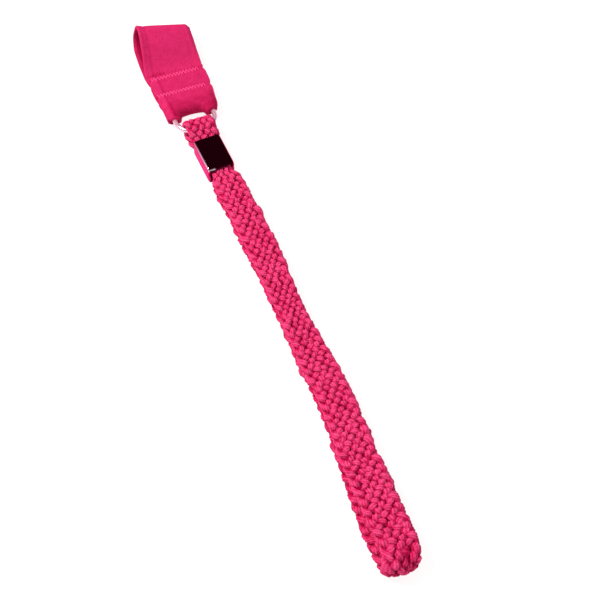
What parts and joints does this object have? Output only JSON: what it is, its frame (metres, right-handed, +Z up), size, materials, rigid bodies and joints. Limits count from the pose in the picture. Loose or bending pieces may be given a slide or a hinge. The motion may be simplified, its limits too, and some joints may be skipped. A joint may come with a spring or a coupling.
{
  "type": "walking stick wrist strap",
  "caption": "Wrist strap for a walking stick: a stitched elastic sleeve that grips the stick, a D-ring, a metal crimp and a flat braided wrist loop.",
  "frame": {"origin": "middle of the strap's footprint, on the surface it lies on", "axes": "+Y along the strap from the wrist fold towards the elastic sleeve, +Z up from the surface it lies on, +X to the right seen from above"},
  "size_m": [0.0219, 0.236, 0.011],
  "materials": {
    "elastic": "matte",
    "thread": "matte",
    "braid": "matte",
    "ring_wire": "polished",
    "crimp_sheet": "polished"
  },
  "bodies": {
    "sleeve": {"elastic_band": "elastic", "upper_seam_needle_thread": "thread", "upper_seam_bobbin_thread": "thread", "lower_seam_needle_thread": "thread", "lower_seam_bobbin_thread": "thread"},
    "ring": {"d_ring": "ring_wire"},
    "strap": {"crimp": "crimp_sheet", "braided_strap": "braid"}
  },
  "joints": [
    {"name": "ring_swing", "type": "hinge", "parent": "sleeve", "child": "ring", "pos_m": [-0.001, 0.0793, 0.0031], "axis": [1, 0, 0], "range_deg": [-75, 75]},
    {"name": "strap_swing", "type": "hinge", "parent": "ring", "child": "strap", "pos_m": [-0.001, 0.068, 0.0042], "axis": [1, 0, 0], "range_deg": [-90, 90]}
  ]
}
